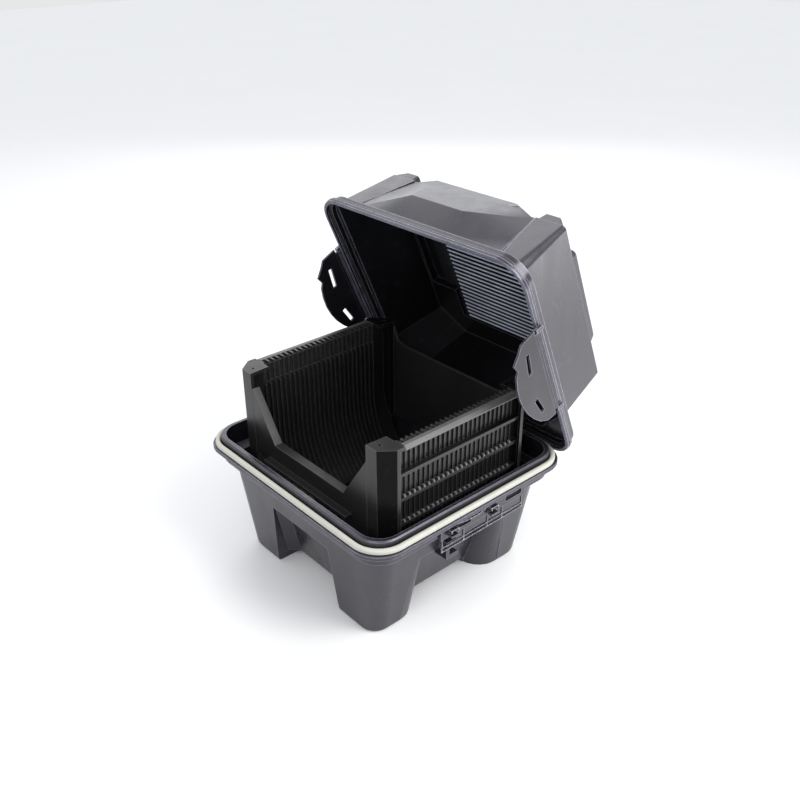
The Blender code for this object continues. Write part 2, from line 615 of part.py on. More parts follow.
shell_plastic = material("conductive_plastic", (0.055, 0.056, 0.062), 0.38)
lid_plastic = material("lid_plastic", (0.06, 0.06, 0.068), 0.32)
cassette_plastic = material("cassette_plastic", (0.02, 0.021, 0.023), 0.42)
seal_rubber = material("seal_elastomer", (0.72, 0.71, 0.66), 0.6)
rest_rubber = material("rest_elastomer", (0.03, 0.03, 0.03), 0.8)
pin_steel = material("pin_steel", (0.55, 0.55, 0.57), 0.3, 1.0)

root_frame = empty("box_frame", (0, BASE_Y, 0))
lid_frame = empty("lid_frame", (0, HINGE_Y, HINGE_Z), root_frame, -OPEN_ANGLE)

make_tub(root_frame, shell_plastic)
make_gasket(root_frame, seal_rubber)
make_lid_shell(lid_frame, lid_plastic)
make_retainer(lid_frame, cassette_plastic)
make_cassette_ends(root_frame, cassette_plastic)
make_supports(root_frame, cassette_plastic, rest_rubber)
for side_name, side_sign in (("right", 1), ("left", -1)):
    make_catch(root_frame, shell_plastic, side_name, side_sign < 0)
    make_hinge(root_frame, lid_frame, pin_steel, shell_plastic, side_name, side_sign < 0)
    make_cassette_side(root_frame, cassette_plastic, side_name, side_sign)
    make_flap(lid_frame, lid_plastic, pin_steel, side_name, side_sign)
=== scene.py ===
"""Visual model of the wafer carrier storage box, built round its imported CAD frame.

Lengths in the helpers are millimetres. Base pieces are drawn from the middle of the tub, lid
pieces from the hinge with the lid closed, and both are placed in the frame's own axes.
"""

import math

import bmesh
import bpy
from mathutils import Matrix, Vector


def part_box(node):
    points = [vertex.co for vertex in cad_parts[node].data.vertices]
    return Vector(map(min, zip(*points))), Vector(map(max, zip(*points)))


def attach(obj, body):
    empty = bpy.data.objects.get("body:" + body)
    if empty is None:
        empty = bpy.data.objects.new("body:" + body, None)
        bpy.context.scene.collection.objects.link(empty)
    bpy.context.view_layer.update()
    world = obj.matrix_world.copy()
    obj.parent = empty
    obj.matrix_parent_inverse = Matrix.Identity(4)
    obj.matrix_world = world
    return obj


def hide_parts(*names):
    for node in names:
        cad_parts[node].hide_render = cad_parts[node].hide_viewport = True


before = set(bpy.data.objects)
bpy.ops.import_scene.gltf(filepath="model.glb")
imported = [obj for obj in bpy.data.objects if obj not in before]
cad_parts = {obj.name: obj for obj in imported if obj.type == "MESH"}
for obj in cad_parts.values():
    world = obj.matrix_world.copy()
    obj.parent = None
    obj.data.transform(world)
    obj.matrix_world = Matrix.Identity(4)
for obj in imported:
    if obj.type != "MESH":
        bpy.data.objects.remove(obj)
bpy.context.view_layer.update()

MM = 0.001
OPEN_ANGLE = math.radians(66.5)  # from the closed lid to the open one that the frame rests in
SEAL_Z = 134.0  # middle plane of the gasket
HINGE_Y, HINGE_Z = 129.5, 124.0  # hinge line, from the middle of the tub and the floor
LIP_X, LIP_Y = 140.5, 129.0  # half sizes of the tub's inner lip
RIM_X, RIM_Y, RIM_R = 148.5, 137.0, 32.0  # half sizes and corner radius of the tub's flange
LID_RIM_X, LID_RIM_Y, LID_RIM_R = 148.0, 135.0, 31.0
LID_SEAT_Z = SEAL_Z + 3.0
CREST_N, CREST_DEPTH = 92.2, 7.6  # the comb's root above the lid rim, and its crests below that

CATCH_TOP, CATCH_X = SEAL_Z - 8.4, 139.1  # top and back face of what stands on the skirt
CATCH_Y = (-46, 72)
STUD_YS = (-34.6, 21.6)
SPRING_STEPS = 8

SLOTS, PITCH, SLOT_MID_Y = 25, 6.35, 1.2
CASSETTE_FRONT, CASSETTE_REAR, CASSETTE_TOP = -101.0, 102.0, SEAL_Z + 86.0
SIDE_X = 111.0  # outer face of the cassette's sides
WAFER_MID_Z = SEAL_Z - 6.0
WALL_TURN = -46  # degrees that the side wall follows the wafers down to its foot
SLOT_CUTS = (  # how far out a wafer slot reaches, and from where to where it runs
    (113.9, CASSETTE_TOP - 3.2, CASSETTE_TOP + 4),
    (110.0, CASSETTE_TOP - 24, CASSETTE_TOP - 3.3),
)
RIB_BANDS = (  # foot, head and outer face of the upright ribs between two rails
    (SEAL_Z + 54.0, CASSETTE_TOP - 3.0, 113.0),
    (SEAL_Z + 25.0, SEAL_Z + 52.0, 112.8),
    (SEAL_Z - 5.0, SEAL_Z + 23.0, 112.4),
    (SEAL_Z - 30.0, SEAL_Z - 7.0, 112.0),
)
TOOTH_ROWS = ((SEAL_Z + 25.2, 117.0), (SEAL_Z - 4.6, 116.6))  # foot and reach of the rail teeth

tub_low, tub_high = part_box("base_tub")
BASE_Y = (tub_low[1] + tub_high[1]) / 2 / MM
BASE_FRAME = Matrix.Translation((0, BASE_Y * MM, 0))
HINGE_LINE = Matrix.Translation((0, (BASE_Y + HINGE_Y) * MM, HINGE_Z * MM))
LID_FRAME = HINGE_LINE @ Matrix.Rotation(-OPEN_ANGLE, 4, "X")


def at_u(u):
    """The lid's own y, from the hinge, of a distance from its rear edge."""
    return LID_RIM_Y - HINGE_Y - u


def at_n(n):
    """The lid's own z, from the hinge, of a height above its rim."""
    return LID_SEAT_Z - HINGE_Z + n


LID_MIDDLE = LID_FRAME @ Vector((0, -HINGE_Y * MM, at_n(30) * MM))


# ---------------------------------------------------------------- materials

NOISE_ROUGHNESS = 0.55


class Shade:
    """A Principled material and short calls for the nodes that feed it."""

    def __init__(self, name, roughness, metallic=0.0, specular=0.5, tint=(1, 1, 1)):
        self.material = bpy.data.materials.new(name)
        self.material.use_nodes = True
        self.tree = self.material.node_tree
        self.shader = self.tree.nodes["Principled BSDF"]
        self.shader.inputs["Roughness"].default_value = roughness
        self.shader.inputs["Metallic"].default_value = metallic
        self.shader.inputs["Specular IOR Level"].default_value = specular
        self.shader.inputs["Specular Tint"].default_value = (*tint, 1.0)
        self.place = self.add("ShaderNodeTexCoord").outputs["Object"]

    def add(self, kind, **inputs):
        """A node; an input may be a number, a colour or another node's output."""
        made = self.tree.nodes.new(kind)
        for key, value in inputs.items():
            self.feed(made.inputs[key.replace("_", " ")], value)
        return made

    def feed(self, socket, value):
        if isinstance(value, bpy.types.NodeSocket):
            self.tree.links.new(value, socket)
        else:
            socket.default_value = value

    def noise(self, scale, detail=3.0, stretch=(1, 1, 1)):
        mapping = self.add("ShaderNodeMapping", Vector=self.place, Scale=stretch)
        place = mapping.outputs[0]
        field = self.add("ShaderNodeTexNoise", Vector=place, Scale=scale, Detail=detail)
        field.inputs["Roughness"].default_value = NOISE_ROUGHNESS
        return field.outputs["Fac"]

    def span(self, value, low, high, out_low=0.0, out_high=1.0):
        """A value carried from one range to another."""
        made = self.add("ShaderNodeMapRange", Value=value)
        limits = {"From Min": low, "From Max": high, "To Min": out_low, "To Max": out_high}
        for key, number in limits.items():
            made.inputs[key].default_value = number
        return made.outputs[0]

    def product(self, a, b):
        made = self.add("ShaderNodeMath")
        made.operation = "MULTIPLY"
        self.feed(made.inputs[0], a)
        self.feed(made.inputs[1], b)
        return made.outputs[0]

    def dot(self, a, b):
        made = self.add("ShaderNodeVectorMath")
        made.operation = "DOT_PRODUCT"
        self.feed(made.inputs[0], a)
        self.feed(made.inputs[1], b)
        return made.outputs["Value"]

    def mix(self, factor, *colors):
        """A blend of two colours, each a triple or another node's output."""
        made = self.add("ShaderNodeMix")
        made.data_type = "RGBA"
        self.feed(made.inputs[0], factor)
        for index, color in zip((6, 7), colors):
            linked = isinstance(color, bpy.types.NodeSocket)
            self.feed(made.inputs[index], color if linked else (*color, 1.0))
        return made.outputs[2]

    def edges(self, radius):
        """1 on the edges, where wear and a painted highlight go, and 0 on open faces."""
        bevel = self.add("ShaderNodeBevel", Radius=radius * MM)
        bevel.samples = 6
        flat = self.add("ShaderNodeNewGeometry").outputs["Normal"]
        return self.span(self.dot(bevel.outputs[0], flat), 0.995, 0.9)

    def bump(self, height, strength, distance, under=None):
        made = self.add(
            "ShaderNodeBump", Height=height, Strength=strength, Distance=distance * MM
        )
        if under:
            self.feed(made.inputs["Normal"], under)
        return made.outputs[0]

    def look(self, color, roughness=None, normal=None):
        """Feeds the shader."""
        self.feed(self.shader.inputs["Base Color"], color)
        if roughness:
            self.feed(self.shader.inputs["Roughness"], roughness)
        if normal:
            self.feed(self.shader.inputs["Normal"], normal)


def moulded(
    name, color, roughness, scuff_and_highlight_color, edge_radius, wear_and_highlight_amount, specular=0.5, tint=(1, 1, 1)
):
    """Injection-moulded conductive plastic: grain, flow clouds, rubbed edges lightened further by
    a painted highlight, and light scuffs.
    """
    shade = Shade(name, roughness, specular=specular, tint=tint)
    cloud = shade.noise(14, 4)
    flow = shade.noise(55, 3, (1, 1, 0.25))
    darker, lighter = [c * 0.82 for c in color], [c * 1.22 for c in color]
    body = shade.mix(shade.span(cloud, 0.3, 0.7), darker, lighter)
    scuff = shade.span(shade.noise(330, 4, (1.0, 0.05, 0.3)), 0.6, 0.8)
    body = shade.mix(shade.product(scuff, 0.05), body, scuff_and_highlight_color)
    # The edges are lightened unevenly: partly wear, partly a painted highlight.
    patchiness = shade.span(shade.noise(120, 3), 0.25, 0.6, 0.45, 1.0)
    wear_and_highlight = shade.product(shade.edges(edge_radius), patchiness)
    body = shade.mix(shade.product(wear_and_highlight, wear_and_highlight_amount), body, scuff_and_highlight_color)
    grain = shade.bump(shade.noise(1700, 2), 0.22, 0.05)
    waves = shade.bump(shade.noise(30, 1), 0.05, 0.6, grain)
    shade.look(body, shade.span(flow, 0.25, 0.75, roughness - 0.07, roughness + 0.08), waves)
    return shade


def ridged():
    """The comb's plastic: crests painted light as a highlight, and dark valleys between them."""
    shade = moulded(
        "retainer_comb_plastic", (0.008, 0.008, 0.012), 0.34,
        scuff_and_highlight_color=(0.3, 0.31, 0.35), edge_radius=0.5, wear_and_highlight_amount=0.3,
    )
    base = shade.shader.inputs["Base Color"].links[0].from_socket
    axis = LID_FRAME.to_3x3() @ Vector((0, 0, 1))
    tip = (LID_FRAME @ Vector((0, 0, (at_n(CREST_N) - CREST_DEPTH) * MM))).dot(axis)
    # A painted highlight along the tips of the comb's crests.
    crest_highlight = shade.span(shade.dot(shade.place, axis), tip + 1.2 * MM, tip + 0.4 * MM)
    uneven = shade.span(shade.noise(26, 3), 0.3, 0.7, 0.62, 1.0)
    shade.look(shade.mix(shade.product(crest_highlight, uneven), base, (0.80, 0.84, 1.0)))
    return shade


def elastomer(name, color, shadow):
    """A moulded elastomer: matt, slightly mottled and a little dusty."""
    shade = Shade(name, 0.55, specular=0.35)
    mottle = shade.span(shade.noise(60, 4), 0.35, 0.7)
    body = shade.mix(mottle, color, [c * 0.9 for c in color])
    dust = shade.span(shade.noise(420, 4), 0.6, 0.75, 0.0, 0.5)
    grain = shade.bump(shade.noise(900, 2), 0.18, 0.06)
    shade.look(shade.mix(dust, body, shadow), shade.span(mottle, 0, 1, 0.5, 0.66), grain)
    return shade


def steel():
    """Drawn steel wire: fine lines along the pin."""
    shade = Shade("pin_steel", 0.3, metallic=1.0)
    lines = shade.noise(2200, 2, (0.04, 1, 1))
    color = shade.mix(lines, (0.48, 0.48, 0.5), (0.66, 0.66, 0.68))
    shade.look(color, shade.span(lines, 0.3, 0.7, 0.22, 0.38), shade.bump(lines, 0.15, 0.02))
    return shade


VIOLET = (0.93, 0.92, 1.0)
TUB = moulded(
    "tub_plastic", (0.014, 0.013, 0.017), 0.30,
    scuff_and_highlight_color=(0.24, 0.23, 0.30), edge_radius=1.6, wear_and_highlight_amount=0.75, specular=0.8, tint=VIOLET,
)
LID = moulded(
    "lid_plastic", (0.014, 0.013, 0.017), 0.28,
    scuff_and_highlight_color=(0.34, 0.33, 0.41), edge_radius=2.0, wear_and_highlight_amount=0.8, specular=0.85, tint=VIOLET,
)
# The catch's bright edges are mostly a painted highlight.
CATCH = moulded(
    "catch_plastic", (0.02, 0.019, 0.024), 0.2,
    scuff_and_highlight_color=(0.75, 0.74, 0.82), edge_radius=0.8, wear_and_highlight_amount=1.0, specular=1.0, tint=VIOLET,
)
# The retainer's dark plastic, also laid on as painted shade on the catch's pockets and the lid
# rim's face.
INSIDE = moulded(
    "retainer_and_shade_plastic", (0.006, 0.006, 0.008), 0.40,
    scuff_and_highlight_color=(0.24, 0.24, 0.28), edge_radius=0.7, wear_and_highlight_amount=0.7,
)
# A darker copy of the lid's plastic: painted shade for the faces inside the dome.
LID_SHADED_INSIDE = moulded(
    "lid_inner_painted_shade", (0.004, 0.004, 0.005), 0.34,
    scuff_and_highlight_color=(0.30, 0.30, 0.36), edge_radius=0.9, wear_and_highlight_amount=0.7, specular=0.32,
)
FLAP = moulded(
    "flap_plastic", (0.010, 0.0095, 0.012), 0.3,
    scuff_and_highlight_color=(0.34, 0.33, 0.41), edge_radius=1.2, wear_and_highlight_amount=0.8, specular=0.55, tint=VIOLET,
)
# A lighter plastic: a painted highlight on the cassette's teeth and flange edge.
PAINTED_HIGHLIGHT = moulded(
    "painted_highlight_plastic", (0.11, 0.105, 0.105), 0.36,
    scuff_and_highlight_color=(0.30, 0.29, 0.29), edge_radius=0.8, wear_and_highlight_amount=0.7,
)
# Light bluish lines on the lid rim: a painted highlight.
RIM_HIGHLIGHT = moulded(
    "rim_highlight_plastic", (0.13, 0.14, 0.21), 0.28,
    scuff_and_highlight_color=(0.4, 0.41, 0.52), edge_radius=0.6, wear_and_highlight_amount=0.7, specular=0.8, tint=VIOLET,
)
CASSETTE = moulded(
    "cassette_plastic", (0.011, 0.0108, 0.0112), 0.34,
    scuff_and_highlight_color=(0.15, 0.14, 0.134), edge_radius=1.0, wear_and_highlight_amount=0.7, specular=0.42,
)
# A darker copy of the cassette's plastic: painted shade on some posts.
CASSETTE_SHADED = moulded(
    "cassette_painted_shade", (0.004, 0.004, 0.0042), 0.22,
    scuff_and_highlight_color=(0.16, 0.15, 0.145), edge_radius=0.7, wear_and_highlight_amount=0.6, specular=0.07,
)
COMB = ridged()
SEAL = elastomer("seal_elastomer", (0.56, 0.55, 0.49), (0.38, 0.36, 0.3))
REST = elastomer("rest_elastomer", (0.03, 0.03, 0.032), (0.07, 0.07, 0.07))
STEEL = steel()


# ---------------------------------------------------------------- shapes

FLAT_ANGLE = math.radians(0.5)  # neighbouring faces of a CAD node closer than this are merged
SHARP_ANGLE = math.radians(50)


def rounded(half_x, half_y, radius, z, mid_y=0.0, steps=12):
    """The points of a rectangle with round corners, counter-clockwise, at one height."""
    points = []
    for corner, (sx, sy) in enumerate(((1, 1), (-1, 1), (-1, -1), (1, -1))):
        for step in range(steps + 1):
            angle = math.radians(90) * (corner + step / steps)
            x = sx * (half_x - radius) + radius * math.cos(angle)
            y = sy * (half_y - radius) + radius * math.sin(angle)
            points.append((x, mid_y + y, z))
    return points


def ellipse(mid_a, mid_b, half_a, half_b, count):
    """The points of an ellipse in a section or an outline."""
    turns = [math.radians(360 * i / count) for i in range(count)]
    return [(mid_a + half_a * math.cos(t), mid_b + half_b * math.sin(t)) for t in turns]


def settle(obj, name, body, shade, nodes):
    """Fixes a finished mesh in the frame: material, body, and hiding the CAD nodes it replaces."""
    graph = bpy.context.evaluated_depsgraph_get()
    mesh = bpy.data.meshes.new_from_object(obj.evaluated_get(graph), depsgraph=graph)
    obj.modifiers.clear()
    obj.data = mesh
    mesh.name = name
    mesh.materials.clear()
    mesh.materials.append(shade.material)
    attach(obj, body)
    if nodes:
        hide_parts(*nodes)
    return obj


def soften(obj, width, segments=2, angle=20):
    """Rounds every edge sharper than the angle, and keeps the wide faces flat to the eye."""
    obj.data.shade_smooth()
    if width:
        bevel = obj.modifiers.new("edges", "BEVEL")
        bevel.width = width * MM
        bevel.segments = segments
        bevel.limit_method = "ANGLE"
        bevel.angle_limit = math.radians(angle)
        bevel.use_clamp_overlap = True
    else:
        obj.data.set_sharp_from_angle(angle=SHARP_ANGLE)
    normal = obj.modifiers.new("faces", "WEIGHTED_NORMAL")
    normal.keep_sharp = True


class Batch:
    """Simple closed forms gathered in one mesh; flip draws them on the other side of X = 0."""

    def __init__(self, place, flip=False):
        self.shape = bmesh.new()
        self.place = place
        self.sign = -1 if flip else 1

    def point(self, p):
        x, y, z = self.sign * p[0] * MM, p[1] * MM, p[2] * MM
        return self.shape.verts.new(self.place @ Vector((x, y, z)))

    def loft(self, rings, loop=False):
        """Faces between rings of equally many points, capped unless the last meets the first."""
        rows = [[self.point(p) for p in ring] for ring in rings]
        pairs = list(zip(rows, rows[1:])) + ([(rows[-1], rows[0])] if loop else [])
        for low, high in pairs:
            for i in range(len(low)):
                j = (i + 1) % len(low)
                self.shape.faces.new((low[i], low[j], high[j], high[i]))
        if not loop:
            self.shape.faces.new(reversed(rows[0]))
            self.shape.faces.new(rows[-1])

    def prism(self, outline, axis, low, high):
        """An outline drawn out along Y or Z."""
        place = {
            "Y": lambda a, b, t: (a, t, b),
            "Z": lambda a, b, t: (a, b, t),
        }[axis]
        self.loft([[place(a, b, t) for a, b in outline] for t in (low, high)])

    def box(self, low, high):
        outline = [(low[0], low[1]), (high[0], low[1]), (high[0], high[1]), (low[0], high[1])]
        self.prism(outline, "Z", low[2], high[2])

    def mesh(self, name):
        bmesh.ops.recalc_face_normals(self.shape, faces=self.shape.faces)
        made = bpy.data.meshes.new(name)
        self.shape.to_mesh(made)
        self.shape.free()
        return made

    def done(self, name, body, shade, bevel=0.3, segments=2, nodes=()):
        obj = bpy.data.objects.new(name, self.mesh(name))
        bpy.context.scene.collection.objects.link(obj)
        soften(obj, bevel, segments)
        return settle(obj, name, body, shade, nodes)


def refined(node, body, shade, bevel, segments=2, cut=None):
    """A CAD node with its coplanar faces merged, an optional cut, and rounded edges."""
    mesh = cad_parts[node].data.copy()
    shape = bmesh.new()
    shape.from_mesh(mesh)
    bmesh.ops.remove_doubles(shape, verts=shape.verts, dist=0.002 * MM)
    bmesh.ops.dissolve_limit(
        shape, angle_limit=FLAT_ANGLE, verts=shape.verts, edges=shape.edges
    )
    shape.to_mesh(mesh)
    shape.free()
    obj = bpy.data.objects.new(f"{node}_skin", mesh)
    bpy.context.scene.collection.objects.link(obj)
    cutter = None
    if cut:
        cutter = bpy.data.objects.new(f"{node}_cut", cut.mesh(f"{node}_cut"))
        bpy.context.scene.collection.objects.link(cutter)
        boolean = obj.modifiers.new("cut", "BOOLEAN")
        boolean.operation = "DIFFERENCE"
        boolean.object = cutter
        boolean.solver = "EXACT"
    soften(obj, bevel, segments)
    bpy.context.view_layer.update()
    settle(obj, f"{node}_skin", body, shade, [node])
    if cutter:
        bpy.data.objects.remove(cutter, do_unlink=True)
    return obj


def second_shade(obj, shade, chosen):
    """Gives another shade to the faces that pass a test."""
    obj.data.materials.append(shade.material)
    for face in obj.data.polygons:
        if chosen(face):
            face.material_index = 1


# ---------------------------------------------------------------- tub and gasket


def make_gasket():
    """The gasket: a soft bead with a lower foot, round the lip."""
    mid, half = LIP_X + 3.9, 2.7
    section = []
    for step in range(13):
        angle = math.radians(-20 + 220 * step / 12)
        section.append((mid + half * math.cos(angle), SEAL_Z - 0.2 + 2.3 * math.sin(angle)))
    section += [
        (mid - half, SEAL_Z - 2.2), (mid - half + 0.6, SEAL_Z - 2.9),
        (mid + half - 0.2, SEAL_Z - 2.95), (mid + half, SEAL_Z - 2.2),
    ]
    batch = Batch(BASE_FRAME)
    rings = [rounded(x, x - LIP_X + LIP_Y, x - LIP_X + 27, z) for x, z in section]
    batch.loft(rings, loop=True)
    batch.done("gasket_bead", "base", SEAL, bevel=0, nodes=["gasket"])


def make_tub_trim():
    """Two fine beads round the edge of the tub's flange."""
    batch = Batch(BASE_FRAME)
    for dx, z, half in ((0.35, SEAL_Z - 4.4, 0.45), (0.3, SEAL_Z - 7.4, 0.4)):
        bulge = [(dx - 0.1, -half * 0.6), (dx, 0), (dx - 0.1, half * 0.6)]
        section = [(-0.6, -half), *bulge, (-0.6, half)]
        rings = [rounded(RIM_X + a, RIM_Y + a, RIM_R + a, z + b) for a, b in section]
        batch.loft(rings, loop=True)
    batch.done("tub_flange_beads", "base", TUB, bevel=0)


def spring_section(step):
    """The section of the catch's bowed bar, at one of its steps."""
    out = 2.6 * math.sin(math.pi * step / SPRING_STEPS)
    y, z = -27 + 42 * step / SPRING_STEPS, SEAL_Z - 13.5
    low, high = 142.2 + out, 144.2 + out
    return [(low, y, z), (high, y, z), (high, y, z + 1.3), (low, y, z + 1.3)]


def make_catch_details(side, flip):
    """Hooks, stops and thin bars of the latch catch, on the tub's skirt."""
    batch = Batch(BASE_FRAME, flip)
    hook = [
        (139.2, CATCH_TOP - 4), (148.6, CATCH_TOP - 5.5), (148.9, CATCH_TOP - 8),
        (143.6, CATCH_TOP - 10.5), (139.2, CATCH_TOP - 15),
    ]
    for y in STUD_YS:
        batch.prism(hook, "Y", y - 5.5, y - 3.9)
        batch.prism(hook, "Y", y + 3.9, y + 5.5)
        batch.box((142.0, y - 5.4, CATCH_TOP - 6.4), (148.2, y + 5.4, CATCH_TOP - 5.0))
    front, rear = CATCH_Y
    batch.box((CATCH_X, front, SEAL_Z - 41.2), (141.3, rear, SEAL_Z - 39.6))
    batch.box((CATCH_X, front, SEAL_Z - 36.6), (140.9, rear, SEAL_Z - 35.2))
    for y in (-46, -16, 18, 40, 70):
        batch.box((CATCH_X, y, SEAL_Z - 41.0), (141.2, y + 1.6, SEAL_Z - 25.4))
    for step in range(SPRING_STEPS):
        batch.loft([spring_section(step), spring_section(step + 1)])
    batch.done(f"catch_details_{side}", "base", CATCH, bevel=0.35)


def make_catch_shade_plates(side, flip):
    """Thin dark plates between the catch's bars: a painted shade where the pockets are."""
    batch = Batch(BASE_FRAME, flip)
    for y in (-18.0, 56.0):
        # Each plate is a painted shade, not a real pocket.
        batch.box((139.05, y - 11.6, SEAL_Z - 20.6), (139.5, y + 11.6, SEAL_Z - 11.4))
    batch.done(f"catch_shade_plates_{side}", "base", INSIDE, bevel=0.05, segments=1)


# ---------------------------------------------------------------- lid


def make_flap_seal(side, flip):
    """The thin skirt of the lid rim behind a flap's hinge line."""
    batch = Batch(LID_FRAME, flip)
    batch.box((148.05, at_u(194.4), at_n(-2.7)), (148.5, at_u(89.6), at_n(1.6)))
    batch.done(f"flap_seal_{side}", "lid", LID, bevel=0.1, segments=1)


def rim_ring(batch, section):
    """A ring round the lid's rim, from a section of x and height above the rim."""
    rings = []
    for x, n in section:
        out = x - LID_RIM_X
        rings.append(rounded(x, LID_RIM_Y + out, LID_RIM_R + out, at_n(n), -HINGE_Y))
    batch.loft(rings, loop=True)


def make_rim_beads():
    """The lid rim's beads, inside its mouth and round its side, and its face, painted dark as
    shade, with two lines painted light as highlights.
    """
    beads = Batch(LID_FRAME)
    rim_ring(beads, ellipse(LID_RIM_X - 3.45, 2.6, 0.55, 0.55, 10))
    rim_ring(beads, ellipse(LID_RIM_X, 3.4, 0.4, 0.7, 10))
    beads.done("lid_rim_beads", "lid", LID, bevel=0)
    # The rim's face takes the darker plastic: painted shade.
    face = Batch(LID_FRAME)
    inner, outer = [(144.45, 0.3), (144.3, -0.35), (144.6, -0.5)], [(147.3, -0.5), (147.6, -0.35)]
    rim_ring(face, [*inner, *outer, (147.6, 0.3)])
    face.done("lid_rim_shaded_face", "lid", INSIDE, bevel=0)
    # Two fine lines in a lighter plastic: painted highlights.
    lines = Batch(LID_FRAME)
    for x in (145.1, 146.8):
        rim_ring(lines, ellipse(x, -0.5, 0.28, 0.28, 6))
    lines.done("lid_rim_highlight_lines", "lid", RIM_HIGHLIGHT, bevel=0)


# ---------------------------------------------------------------- cassette


def slot_ys(count=SLOTS):
    """The y of each tooth, or of each gap between two teeth."""
    return [SLOT_MID_Y + (i - (count - 1) / 2) * PITCH for i in range(count)]


def wall_line(offset, z_low, z_high, steps=14):
    """Points down the cassette side, straight and then round the wafers, inside its outer face."""
    reach = SIDE_X - offset
    points = [(reach, z_high)]
    for step in range(steps + 1):
        angle = math.radians(WALL_TURN * step / steps)
        x, z = reach * math.cos(angle), WAFER_MID_Z + reach * math.sin(angle)
        if z >= z_low:
            points.append((x, z))
    return points


def make_cassette_side_skin(side, flip):
    """The CAD side with its wafer slots, a hole in each post plate and a slope on its flange; some
    of its post faces get a painted shade.
    """
    cut = Batch(BASE_FRAME, flip)
    for y in slot_ys(SLOTS - 1):
        for tip, low, high in SLOT_CUTS:
            wedge = [
                (104.0, y - 2.75), (108.0, y - 2.2), (tip - 0.5, y - 1.75), (tip, y),
                (tip - 0.5, y + 1.75), (108.0, y + 2.2), (104.0, y + 2.75),
            ]
            cut.prism(wedge, "Z", low, high)
    for y in (CASSETTE_FRONT + 9.5, CASSETTE_REAR - 9.5):
        cut.prism(ellipse(103.4, y, 1.7, 1.7, 16), "Z", CASSETTE_TOP - 6, CASSETTE_TOP + 4)
    slope = [
        (118.2, CASSETTE_TOP + 0.4), (124.0, CASSETTE_TOP + 0.4), (124.0, CASSETTE_TOP - 5.6),
    ]
    cut.prism(slope, "Y", CASSETTE_FRONT + 25, CASSETTE_REAR - 25)
    corner = [
        (SIDE_X - 2.4, CASSETTE_REAR - 2.5), (SIDE_X + 1, CASSETTE_REAR - 2.5),
        (SIDE_X + 1, CASSETTE_REAR - 6),
    ]
    cut.prism(corner, "Z", 40, CASSETTE_TOP + 4)
    skin = refined(f"cassette_side_{side}", "base", CASSETTE, 0.35, cut=cut)

    def painted_dark(face):
        """The rear posts, and the outward faces of the front posts, which are painted dark as
        shade.
        """
        y = face.center.y / MM - BASE_Y
        outward = face.normal.x * (-1 if flip else 1)
        front_post = y < CASSETTE_FRONT + 24 and outward > 0.2 and face.normal.z < 0.5
        return y > CASSETTE_REAR - 24 or front_post

    second_shade(skin, CASSETTE_SHADED, painted_dark)


def make_cassette_fins(side, flip):
    """The wafer guides inside the side wall: one thin fin beside each slot, down to the foot."""
    batch = Batch(BASE_FRAME, flip)
    outer = wall_line(2.4, 50, CASSETTE_TOP - 26)
    inner = wall_line(5.2, 50, CASSETTE_TOP - 27)
    outline = outer + list(reversed(inner))
    for y in slot_ys():
        batch.prism(outline, "Y", y - 0.75, y + 0.75)
    batch.done(f"cassette_fins_{side}", "base", CASSETTE, 0.2, segments=1)


def make_cassette_ribs(side, flip):
    """The upright ribs between the rails of the outer face."""
    batch = Batch(BASE_FRAME, flip)
    for y in slot_ys():
        for low, high, reach in RIB_BANDS:
            batch.box((SIDE_X - 0.6, y - 0.45, low), (reach, y + 0.45, high))
    batch.done(f"cassette_ribs_{side}", "base", CASSETTE, 0.22, segments=1)


def make_cassette_teeth(side, flip):
    """The little teeth on the lower rails, painted light as a highlight."""
    batch = Batch(BASE_FRAME, flip)
    for y in slot_ys(SLOTS - 1):
        for z, reach in TOOTH_ROWS:
            foot = [(reach - 3.6, z), (reach - 0.1, z)]
            tooth = [*foot, (reach - 0.4, z + 2.6), (reach - 2.6, z + 3.4)]
            batch.prism(tooth, "Y", y - 1.1, y + 1.1)
    batch.done(f"cassette_teeth_{side}", "base", PAINTED_HIGHLIGHT, 0.22, segments=1)


def make_flange_highlight(side, flip):
    """The outer edge of the top flange, painted light as a highlight."""
    batch = Batch(BASE_FRAME, flip)
    face = [
        (114.4, CASSETTE_TOP - 0.8), (114.4, CASSETTE_TOP - 0.1), (119.0, CASSETTE_TOP - 0.1),
        (122.0, CASSETTE_TOP - 3.1), (122.0, CASSETTE_TOP - 4.4), (121.2, CASSETTE_TOP - 4.4),
        (118.8, CASSETTE_TOP - 0.8),
    ]
    batch.prism(face, "Y", CASSETTE_FRONT + 26, CASSETTE_REAR - 26)
    name = f"cassette_flange_highlight_{side}"
    batch.done(name, "base", PAINTED_HIGHLIGHT, 0.15, segments=1)


# ---------------------------------------------------------------- assembly

for node in ("hinge_pin_left", "hinge_pin_right", "flap_pin_left", "flap_pin_right"):
    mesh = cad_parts[node].data
    if mesh.materials:
        mesh.materials[0] = STEEL.material
    else:
        mesh.materials.append(STEEL.material)

refined("base_tub", "base", TUB, 0.7, 3)
lid_skin = refined("lid_shell", "lid", LID, 1.3, 3)
